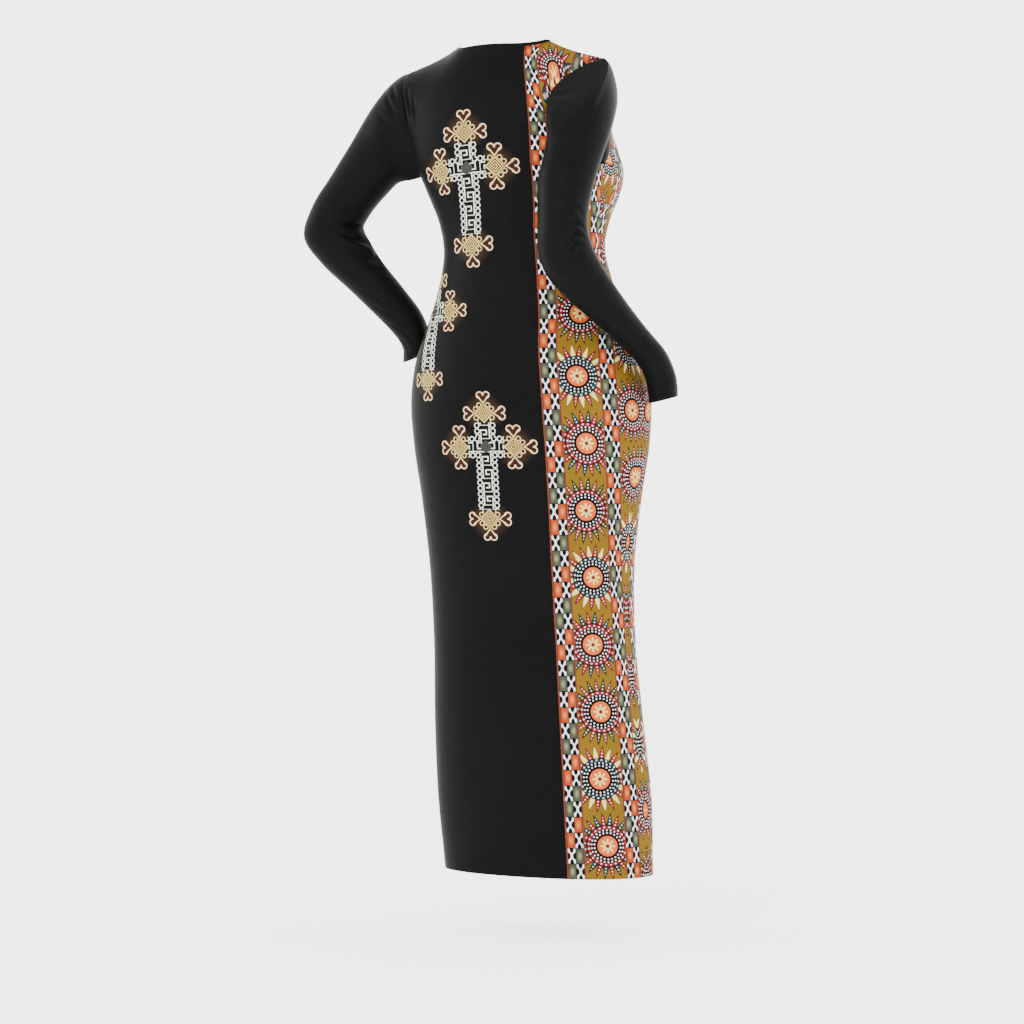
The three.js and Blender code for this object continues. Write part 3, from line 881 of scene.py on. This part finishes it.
def checkered_band(finish, p, row, band, v, ink, below):
    """A band of two columns of cells, p across it, between coral lines.

    Cells with a white X, which is a square less black ovals at the middles of its four sides, change
    places from row to row with orange or grey-green cells that are paler in the middle.
    """
    cell = (BAND_WIDTH - 2 * BORDER_LINE) / 2
    inner = p - BORDER_LINE
    left = inner < cell
    a = abs((inner % cell) / (cell / 2) - 1)
    b = abs((v % CELL_HEIGHT) / (CELL_HEIGHT / 2) - 1)
    odd = (row + band) % 2
    crossed = odd.choose(left, 1 - left)
    warm = ((row + band * 2) % 4) > 1.5
    ovals = ((a - 1) / 0.76).length(b / 0.48).least((a / 0.52).length((b - 1) / 0.64))
    glow = 1 - (a * 0.9).length(b * 0.9)
    plain = finish.blend(warm, ink.sage, ink.orange)
    bright = finish.blend(warm, ink.sage_glow, ink.orange_glow)
    lit = finish.blend(glow.inside(0.72, -0.7), plain, bright)
    cross = finish.blend(ovals.inside(1.0, 0.25), ink.white, ink.black)
    frames = (1 - a).inside(0.1, 0.08).most((1 - b).inside(0.06, 0.05))
    lines = inner.inside(0.0, 0.6).most((2 * cell - inner).inside(0.0, 0.6))
    banded = finish.paint(lit, (crossed, cross), (frames, ink.black), (lines, ink.coral))
    return finish.blend(p.inside(BAND_WIDTH, 0.6), below, banded)


def rosette_column(finish, a, column, v, ink):
    """A column of rosettes, a across from its middle line, half a pitch on from the last column's.

    Each is a flower of eight petals on a peach disc, a black ring, rings of white dots and a ring of
    pointed rays. The petals' edge is r = middle + swing cos(8 turns), and a ray's is a saw wave.
    """
    place = v / ROSETTE_PITCH + column * 0.5
    number = place.floor() + column * 2
    across = a + ((number % 2) - 0.5) * ROSETTE_SHIFT
    b = ((place % 1) - 0.5) * ROSETTE_PITCH
    r = across.length(b)
    turn = across.angle(b)
    ray = turn * ROSETTE_RAYS
    saw = abs((ray % 1) - 0.5) * 2
    kind = number % 3
    first, second, third = (kind.line(k, 0.5, 0.02) for k in range(3))
    odd_rays = finish.paint(ink.red, (second, ink.cream), (third, ink.coral))
    even_rays = finish.paint(ink.teal, (second, ink.red), (third, ink.olive))
    reach = RAY_START + (1 - saw) * RAY_LENGTH
    rays = finish.paint(
        odd_rays,
        (((ray / 2) % 1) > 0.5, even_rays),
        (saw.inside(0.8, -0.12), ink.black),
        ((r - reach).inside(-1.8, -0.6), ink.black),
    )
    rings = []
    for radius, count in DOT_RINGS:
        along = abs(((turn * count) % 1) - 0.5) * (TAU * radius / count)
        rings.append(along.length(r - radius))
    drops = abs((ray % 1) - 0.5) * (r * (TAU / ROSETTE_RAYS))
    drops = drops.length(((r - ROSETTE["root"]) % DROP_STEP) - DROP_STEP / 2)
    drops = drops + r.inside(ROSETTE["root"] + 0.5, 0.1) * FAR + (r - reach + 6).inside(0.0, -1.0) * FAR
    dots = reduce(Number.least, rings).least(drops + 0.2)
    petal = (turn * PETALS * TAU).math("COSINE") * PETAL_SWING + PETAL_MIDDLE
    return finish.paint(
        ink.ochre,
        ((r - reach).inside(0.4, 0.8), rays),
        (r.inside(ROSETTE["root"], 0.8), ink.black),
        (r.inside(ROSETTE["collar"], 0.8), finish.blend(second, ink.red, ink.teal)),
        (r.inside(ROSETTE["rim"], 0.8), finish.blend(first, ink.black, ink.maroon)),
        (dots.inside(DOT_RADIUS, 0.7), ink.white),
        (r.inside(ROSETTE["ring"], 0.8), ink.black),
        (r.inside(ROSETTE["disc"], 0.8), ink.peach),
        ((r - petal).inside(0.9, 0.5), ink.maroon),
        ((r - petal).inside(0.0, 0.6), ink.cream),
        (r.inside(ROSETTE["eye"], 0.6), ink.orange),
        (r.inside(ROSETTE["dot"], 0.5), ink.black),
    )


def printed_finish(name, black, ink):
    """The printed side: bands and columns in turn from the print's edge, and plain black past it."""
    finish = Finish(name)
    x, v = finish.cut()
    band = (x / STRIPE_REPEAT).floor()
    p = x % STRIPE_REPEAT
    row = (v / CELL_HEIGHT).floor()
    middle = (STRIPE_REPEAT + BAND_WIDTH) / 2
    picture = rosette_column(finish, p - middle, band, v, ink)
    picture = checkered_band(finish, p, row, band, v, ink, picture)
    faded = finish.blend(finish.noise(14.0) * 0.2, picture, ink.black)
    colour = finish.blend(x.inside(0.0, 0.5), faded, worn_black(finish, black))
    return finish.cloth(colour, 0.5, 0.25)


def key_bars(h, t):
    """The distance to a Greek key's bars, h across and t along; every other repeat is turned over."""
    turned = ((t / (2 * KEY_STEP)) % 1) > 0.5
    h = turned.choose(0 - h, h)
    t = t % KEY_STEP
    bars = []
    for row in KEY_BARS:
        bar = dict(zip(KEY_COLUMNS, row))
        away = abs(h - bar["across"]) - bar["half_across"]
        bars.append(away.most(abs(t - bar["along"]) - bar["half_along"]))
    return reduce(Number.least, bars)


def cross_finish(name, black, ink):
    """The black side with its crosses, each with four diamond ends that carry pairs of scrolls.

    A point is folded about the cross's middle into one end's outward and sideways distances, p and q.
    The diamond holds a square spiral, a step of |p| + |q| and the turn about its middle; rings sit along
    its edges; each scroll is two straight lines that open to two circles. Greek key runs along the arms.
    """
    finish = Finish(name)
    u, v = finish.cut()
    w = 0 - u
    high, side, low = (dict(zip(CROSS_COLUMNS, row)) for row in CROSSES)
    is_high = (v - w * HIGH_FROM[1]) > HIGH_FROM[0]
    is_low = (v + w * LOW_UNDER[1]) < LOW_UNDER[0]
    across, up, unit_size = (
        is_high * (high[key] - side[key]) + is_low * (low[key] - side[key]) + side[key]
        for key in CROSS_COLUMNS
    )
    x = (w - across) / (unit_size * CROSS_STRETCH)
    y = (v - up) / unit_size
    ax, ay = abs(x), abs(y)
    sideways = (ax - ay * 0.85) > 0
    middle = (FOOT_END - TOP_END) / 2
    end = (FOOT_END + TOP_END) / 2
    p = sideways.choose(ax - SIDE_END, abs(y + middle) - end)
    q = sideways.choose(ay, ax)
    reach = abs(p) + q
    spiral = ((reach / SPIRAL_STEP + q.angle(p)) % 1).line(0.5, 0.14, 0.14)
    diamond = reach.inside(DIAMOND, 0.5)
    outline = reach.line(DIAMOND, LINE_HALF, 0.5)
    rings = (abs(abs(abs(p) - q) * 0.707 - RING_SPREAD)).length((reach - RING_LINE) * 0.707)
    rings = rings.line(RING_RADIUS, LINE_HALF * 0.7, 0.5)
    outward = (p - q) > 0
    m = outward.choose(p, q)
    n = outward.choose(q, abs(p))
    tip = (m - SCROLL_TIP[0]).length(n - SCROLL_TIP[1])
    notch = m.inside(SCROLL_TIP[0] - 0.5, 0.4) * n.inside(3.0, 0.4)
    curl = tip.line(SCROLL_RADIUS, LINE_HALF, 0.5) * (1 - notch)
    slant = (m - SCROLL_START) * SCROLL_SPREAD
    stem = (n - slant).line(0, LINE_HALF * 1.2, 0.5) * m.inside(SCROLL_TIP[0] - 0.8, 0.4)
    stem = stem * (m > SCROLL_START)
    free = 1 - ((p + q * 0.9) < 0)
    scroll = curl.most(stem) * free
    heart = (n - slant).inside(0, 0.5) * m.inside(SCROLL_TIP[0], 0.4) * (m > SCROLL_START)
    heart = heart.most(tip.inside(SCROLL_RADIUS, 0.5)) * free
    ring_zone = rings * free.most(1 - (q < 5.5))
    halo = m.length(n).inside(16.0, 9.0) * free
    lines = outline.most(ring_zone).most(scroll)

    along = sideways.choose(ax, y + 200)
    aside = sideways.choose(y, x)
    wide, tall = ax.inside(SIDE_END - DIAMOND, 0.5), abs(y + middle).inside(end - DIAMOND, 0.5)
    inner = sideways.choose(wide, tall)
    clear = inner * (reach > DIAMOND)
    far = abs(aside)
    key = key_bars(aside, along).inside(LINE_HALF, 0.5) * far.inside(ARM_HALF, 0.3)
    chain = (abs((along / CHAIN_STEP % 1) - 0.5) * CHAIN_STEP).length(far - CHAIN_LINE)
    chain = chain.line(CHAIN_RADIUS, LINE_HALF * 0.8, 0.5)
    arms = key.most(chain) * clear
    hub = ax + ay
    hub_lines = ((hub / 2.2 + x.angle(y)) % 1).line(0.5, 0.25, 0.2)
    centre = hub.inside(6.6, 0.5)

    scrolls = finish.blend(reach.inside(14.0, 8.0), ink.ivory, ink.cream)
    base = finish.paint(
        worn_black(finish, black),
        (halo * 0.55, ink.halo),
        (heart, ink.maroon),
        (lines, scrolls),
        (arms, ink.silver),
        (diamond, finish.blend(spiral, ink.bronze, ink.gold)),
        (centre, finish.blend(hub_lines, ink.black, ink.steel)),
        (w.inside(0.0, 0.5), tuple(black)),
    )
    return finish.cloth(base, 0.44, 0.35)


# ---------------------------------------------------------------- settings


def size(name, description, default):
    """A length that can be changed in the sidebar."""
    return FloatProperty(name=name, description=description, default=default, min=0.0, unit="LENGTH")


def colour(name, description, default):
    """A colour that can be changed in the sidebar."""
    settings = {"size": 4, "subtype": "COLOR", "min": 0.0, "max": 1.0}
    return FloatVectorProperty(name=name, description=description, default=(*default, 1.0), **settings)


def amount(name, description, default):
    """A plain number that can be changed in the sidebar."""
    return FloatProperty(name=name, description=description, default=default, min=0.0)


class DressSizes(bpy.types.PropertyGroup):
    """Sizes of the cloth and its sewing."""

    thickness: size("Jersey thickness", "Thickness of the cloth wall", 0.0012)
    hem_height: size("Hem height", "Height of the turned hem", 0.020)
    cuff_height: size("Cuff height", "Height of the turned cuffs", 0.018)
    turning_relief: size("Turning relief", "How far a turned edge stands proud", 0.0003)
    seam_depth: size("Seam depth", "Depth of the valley along a sewn seam", 0.0009)
    stitch_length: size("Stitch length", "Length of one stitch", 0.0026)
    stitch_pitch: size("Stitch pitch", "Distance from one stitch to the next", 0.0034)
    thread_radius: size("Thread radius", "Half the thickness of the sewing thread", 0.00028)
    needle_gap: size("Needle gap", "Distance between the two rows of stitches", 0.004)


class DressColours(bpy.types.PropertyGroup):
    """Colours of the cloth and the thread."""

    jersey: colour("Black jersey", "Right side of the black jersey", (0.0028, 0.0028, 0.0029))
    reverse: colour("Reverse", "Wrong side of the printed jersey", (0.02, 0.019, 0.0185))
    thread: colour("Thread", "Sewing thread", (0.006, 0.006, 0.0063))


class DressInks(bpy.types.PropertyGroup):
    """Colours of the print."""

    black: colour("Black", "Outlines and rings", (0.003, 0.003, 0.0032))
    white: colour("White", "Dots and the X of a cell", (0.62, 0.63, 0.68))
    coral: colour("Coral", "Lines beside a band", (0.125, 0.027, 0.016))
    orange: colour("Orange", "Warm cells", (0.25, 0.038, 0.011))
    orange_glow: colour("Orange middle", "Middle of a warm cell", (0.52, 0.18, 0.055))
    sage: colour("Sage", "Grey-green cells", (0.04, 0.044, 0.03))
    sage_glow: colour("Sage middle", "Middle of a grey-green cell", (0.19, 0.195, 0.1))
    ochre: colour("Ochre", "Ground of the columns", (0.13, 0.072, 0.007))
    peach: colour("Peach", "Disc of a rosette", (0.46, 0.075, 0.018))
    cream: colour("Cream", "Petals and pale rays", (0.55, 0.42, 0.13))
    red: colour("Red", "Red rays", (0.15, 0.0095, 0.0115))
    teal: colour("Teal", "Dark teal rays", (0.008, 0.025, 0.026))
    olive: colour("Olive", "Dark olive rays", (0.02, 0.024, 0.008))
    maroon: colour("Maroon", "Dark red fills", (0.02, 0.0075, 0.006))
    halo: colour("Halo", "Brown glow round a cross's ends", (0.032, 0.0165, 0.01))
    ivory: colour("Ivory", "Scrolls of a cross", (0.62, 0.44, 0.25))
    gold: colour("Gold", "Spiral of a diamond", (0.66, 0.5, 0.17))
    bronze: colour("Bronze", "Ground of a diamond", (0.02, 0.011, 0.006))
    silver: colour("Silver", "Key and rings of the arms", (0.6, 0.6, 0.52))
    steel: colour("Steel", "Middle of a cross", (0.05, 0.05, 0.048))


class DressStage(bpy.types.PropertyGroup):
    """The floor, the light and the camera."""

    floor_drop: size("Floor drop", "How far the floor lies below the shoulders", 1.42)
    paper: colour("Paper", "Floor and backdrop", (0.66, 0.665, 0.65))
    glow: amount("Glow", "Light the paper gives back of its own", 2.9)
    sky: amount("Sky", "Strength of the soft light all round", 2.5)
    camera_distance: size("Camera distance", "From the dress's axis to the camera", 5.0)
    lens: FloatProperty(name="Lens", description="Focal length in millimetres", default=109.9, min=10.0)


# ---------------------------------------------------------------- pieces


def panel_cloth(name, back, sizes, materials):
    """One panel: its surface at a fine grid, with creases, seam valleys and its turned hem.

    Columns are at even shares of the width; rows are 4 mm apart down the tube and closer above it.
    """
    side = "back" if back else "front"
    s = np.linspace(-1, 1, PANEL_ACROSS)[None, :]
    tube = np.linspace(-TUBE_ROWS, 0, TUBE_ALONG)
    yoke = np.linspace(0, YOKE_ROWS, YOKE_ALONG)[1:]
    grid = panel_point(s, np.concatenate([tube, yoke])[:, None], back)
    u, v = cut_coordinates(grid, PANEL_ACROSS // 2)
    normals = surface_normals(grid, False, -1 if back else 1)
    depth = sizes.seam_depth / MM
    relief = crease_relief(u, v, NO_WRAP, CREASES[side])
    relief += seam_dip(np.minimum(u - u[:, :1], u[:, -1:] - u), depth, SEAM_BREADTH)
    shoulder = (v[-1:] - v) + NO_SEAM * (np.abs(s) < NECK_SHARE)
    relief += seam_dip(shoulder, depth, SEAM_BREADTH)
    relief += turned_edge(v, sizes.hem_height / MM, sizes)
    outer = grid + normals * relief[..., None]
    print_u = along_table(PRINT_EDGE_COLUMNS, PRINT_EDGES[side], "v", v)["u"] - u
    slots = ((print_u[:-1, :-1] + print_u[1:, 1:]) / 2 < -PRINT_MARGIN).astype(int)
    cut = np.stack([print_u, v], -1)
    piece = cloth_wall(name, outer, normals, sizes.thickness / MM, False, cut, slots, materials)
    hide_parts("back_panel" if back else "front_panel")


def sleeve_cloth(name, key, sizes, materials):
    """One sleeve: cap and tube, with the creases of the elbow and wrist and the turned cuff."""
    sleeve = SLEEVES[key]
    rings = sleeve_rings(sleeve, SLEEVE_AROUND)
    grid = np.concatenate([sleeve_cap(sleeve, rings, CAP_STEPS), sleeve_tube(rings, RING_STEPS)])
    u, v = cut_coordinates(closed(grid), 0)
    down = v[:, :-1]
    normals = surface_normals(grid, True, -sleeve["side"])
    relief = crease_relief(u, v, u[:, -1:], CREASES[key])[:, :-1] * CREASE_WEIGHT
    relief += seam_dip(down, sizes.seam_depth / MM, SEAM_BREADTH)
    relief += turned_edge(down[-1:] - down, sizes.cuff_height / MM, sizes)
    outer = grid + normals * relief[..., None]
    slots = np.zeros((grid.shape[0] - 1, grid.shape[1]), int)
    cut = np.stack([u, v], -1)
    piece = cloth_wall(name, outer, normals, sizes.thickness / MM, True, cut, slots, materials)
    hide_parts(key + "_sleeve")


class DRESS_OT_panels(bpy.types.Operator):
    """Makes the front and the back panel of printed jersey"""

    bl_idname = "dress.panels"
    bl_label = "Body panels"

    def execute(self, context):
        sizes, colours = context.scene.dress_sizes, context.scene.dress_colours
        inks = context.scene.dress_inks
        ink = SimpleNamespace(**{key: tuple(getattr(inks, key)) for key in DressInks.__annotations__})
        materials = [
            printed_finish("printed_side", colours.jersey, ink),
            cross_finish("black_side", colours.jersey, ink),
            plain_finish("jersey_reverse", colours.reverse),
        ]
        panel_cloth("back_cloth", True, sizes, materials)
        panel_cloth("front_cloth", False, sizes, materials)
        return {"FINISHED"}


class DRESS_OT_sleeves(bpy.types.Operator):
    """Makes the two long sleeves of black jersey"""

    bl_idname = "dress.sleeves"
    bl_label = "Sleeves"

    def execute(self, context):
        sizes, colours = context.scene.dress_sizes, context.scene.dress_colours
        black = plain_finish("sleeve_jersey", colours.jersey)
        for key in SLEEVES:
            sleeve_cloth(key + "_sleeve_cloth", key, sizes, [black, black])
        return {"FINISHED"}


class DRESS_OT_neck_band(bpy.types.Operator):
    """Makes the narrow band round the neck.

    Its section is a superellipse 8 mm high and 2.2 mm thick, carried round the neckline.
    """

    bl_idname = "dress.neck_band"
    bl_label = "Neck band"

    def execute(self, context):
        point, normal, away = neckline(BAND_AROUND)
        turn = TAU * np.arange(BAND_SECTION) / BAND_SECTION
        rise, depth = (
            middle + half * np.sign(wave) * np.abs(wave) ** BAND_POWER
            for wave, (middle, half) in ((np.sin(turn), BAND_RISE), (np.cos(turn), BAND_DEPTH))
        )
        grid = point[:, None] + away[:, None] * rise[:, None] + normal[:, None] * depth[:, None]
        points = grid.reshape(-1, 3)
        faces = face_grid(BAND_AROUND + 1, BAND_SECTION, 0, True, False) % len(points)
        if turned_in(points, faces):
            faces = faces[:, ::-1]
        finish = plain_finish("neck_jersey", context.scene.dress_colours.jersey)
        band = new_piece("neck_band_cloth", points, faces, None, np.zeros(len(faces)), [finish])
        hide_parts("neck_binding")
        return {"FINISHED"}


class DRESS_OT_stitching(bpy.types.Operator):
    """Makes the twin rows of stitches round the hem and the cuffs and below the neck band"""

    bl_idname = "dress.stitching"
    bl_label = "Stitching"

    def execute(self, context):
        sizes, colours = context.scene.dress_sizes, context.scene.dress_colours
        needles = [k * sizes.needle_gap / MM for k in (-0.5, 0.5)]
        rows = []
        s = np.linspace(-1, 1, HEM_AROUND)[:-1]
        for needle in needles:
            r = -TUBE_ROWS + (sizes.hem_height / MM + needle) / TUBE_STEP
            ring = np.concatenate([panel_point(s, r, True), panel_point(-s, r, False)])
            out = unit(np.cross(np.roll(ring, -1, 0) - np.roll(ring, 1, 0), UP))
            out *= np.sign(np.sum(out * (ring - ring.mean(0)), -1, keepdims=True))
            rows.append((ring, out))
        for sleeve in SLEEVES.values():
            grid = sleeve_tube(sleeve_rings(sleeve, SLEEVE_AROUND), RING_STEPS)
            normals = surface_normals(grid, True, -sleeve["side"])
            up = np.linalg.norm(grid - grid[-1:], axis=-1).mean(1)
            for needle in needles:
                row = np.argmin(np.abs(up - sizes.cuff_height / MM - needle))
                rows.append((grid[row], normals[row]))
        point, normal, away = neckline(2 * BAND_AROUND)
        rows += [(point - away * drop, normal) for drop in NECK_ROWS]
        measures = [sizes.stitch_pitch / MM, sizes.stitch_length / MM, sizes.thread_radius / MM]
        points, faces, count = [], [], 0
        for path, normals in rows:
            more, quads = thread_stitches(path + normals * THREAD_LIFT, normals, *measures)
            points.append(more)
            faces.append(quads + count)
            count += len(more)
        points, faces = np.concatenate(points), np.concatenate(faces)
        thread = plain_finish("sewing_thread", colours.thread)
        piece = new_piece("seam_stitches", points, faces, None, np.zeros(len(faces)), [thread])
        return {"FINISHED"}


class DRESS_OT_stage(bpy.types.Operator):
    """Makes the pale floor and backdrop, the soft studio light and the camera.

    The floor is a disc that curves up into a round wall: a profile turned about the upright axis.
    The camera looks straight at the upright planes in which the arms bend.
    """

    bl_idname = "dress.stage"
    bl_label = "Stage"

    def execute(self, context):
        scene = context.scene
        settings = scene.dress_stage
        flat = np.append(1.0, np.linspace(FLOOR_START, FLOOR_RADIUS, FLOOR_RINGS))
        bend = np.linspace(0, np.pi / 2, CORNER_RINGS)
        edge = FLOOR_RADIUS + CORNER_RADIUS * np.append(np.sin(bend), 1)
        run = np.concatenate([flat, edge])[:, None]
        rise = np.concatenate([0 * flat, CORNER_RADIUS * (1 - np.cos(bend)), [WALL_TOP]])
        rise = rise[:, None] - settings.floor_drop / MM
        turn = TAU * np.arange(STAGE_AROUND) / STAGE_AROUND
        grid = np.stack([run * np.cos(turn), run * np.sin(turn), rise + 0 * turn], -1)
        faces = face_grid(*grid.shape[:2], 0, True, True)
        paper = Finish("studio_paper")
        tone = tuple(settings.paper)
        paler = tuple(min(c * 1.04, 1.0) for c in tone[:3]) + (1.0,)
        mottled = paper.blend(paper.noise(2.0, 2.0), tone, paler)
        paper.shade(colour=mottled, roughness=0.9, gloss=0.1, glow_colour=tone, glow=settings.glow)
        paper.material.cycles.emission_sampling = "NONE"
        mesh = bpy.data.meshes.new("studio_floor")
        mesh.from_pydata((grid.reshape(-1, 3) * MM).tolist(), [], faces.tolist())
        mesh.materials.append(paper.material)
        mesh.polygons.foreach_set("use_smooth", np.ones(len(faces), bool))
        stage = bpy.data.objects.new("studio_floor", mesh)
        scene.collection.objects.link(stage)

        world = bpy.data.worlds.new("studio_light")
        world.use_nodes = True
        sky = world.node_tree.nodes["Background"]
        sky.inputs["Color"].default_value = SKY_COLOUR
        sky.inputs["Strength"].default_value = settings.sky
        scene.world = world
        for name, (place, spread, power) in LAMPS.items():
            lamp = bpy.data.lights.new(name, "AREA")
            lamp.energy = power
            lamp.size = spread
            light = bpy.data.objects.new(name, lamp)
            light.location = place
            toward = Vector(LAMP_AIM) - Vector(place)
            light.rotation_euler = toward.to_track_quat("-Z", "Y").to_euler()
            scene.collection.objects.link(light)

        lens = bpy.data.cameras.new("view_camera")
        lens.lens = settings.lens
        lens.sensor_width = 36.0
        lens.clip_end = 100.0
        camera = bpy.data.objects.new("view_camera", lens)
        place = ARM_DEEP * settings.camera_distance + ARM_ACROSS * CAMERA_ACROSS
        camera.location = place + UP * CAMERA_HEIGHT
        camera.rotation_euler = Vector(-ARM_DEEP).to_track_quat("-Z", "Y").to_euler()
        scene.collection.objects.link(camera)
        scene.camera = camera
        return {"FINISHED"}


PIECES = (DRESS_OT_panels, DRESS_OT_sleeves, DRESS_OT_neck_band, DRESS_OT_stitching, DRESS_OT_stage)


class DRESS_PT_parts(bpy.types.Panel):
    """Lists the dress's pieces in the sidebar"""

    bl_idname = "DRESS_PT_parts"
    bl_label = "Bodycon dress"
    bl_space_type = "VIEW_3D"
    bl_region_type = "UI"
    bl_category = "Dress"

    def draw(self, context):
        column = self.layout.column()
        for piece in PIECES:
            column.operator(piece.bl_idname)
        for key, group in GROUPS.items():
            for name in group.__annotations__:
                column.prop(getattr(context.scene, key), name)


GROUPS = {
    "dress_sizes": DressSizes,
    "dress_colours": DressColours,
    "dress_inks": DressInks,
    "dress_stage": DressStage,
}


def register():
    """Adds the settings, the operators and the panel."""
    for kind in (*GROUPS.values(), *PIECES, DRESS_PT_parts):
        bpy.utils.register_class(kind)
    for name, group in GROUPS.items():
        setattr(bpy.types.Scene, name, PointerProperty(type=group))


def unregister():
    """Takes them out again."""
    for name in GROUPS:
        delattr(bpy.types.Scene, name)
    for kind in reversed((*GROUPS.values(), *PIECES, DRESS_PT_parts)):
        bpy.utils.unregister_class(kind)


def main():
    """Makes every piece in order."""
    register()
    bpy.ops.dress.stage()
    bpy.ops.dress.panels()
    bpy.ops.dress.sleeves()
    bpy.ops.dress.neck_band()
    bpy.ops.dress.stitching()


if __name__ == "__main__":
    main()
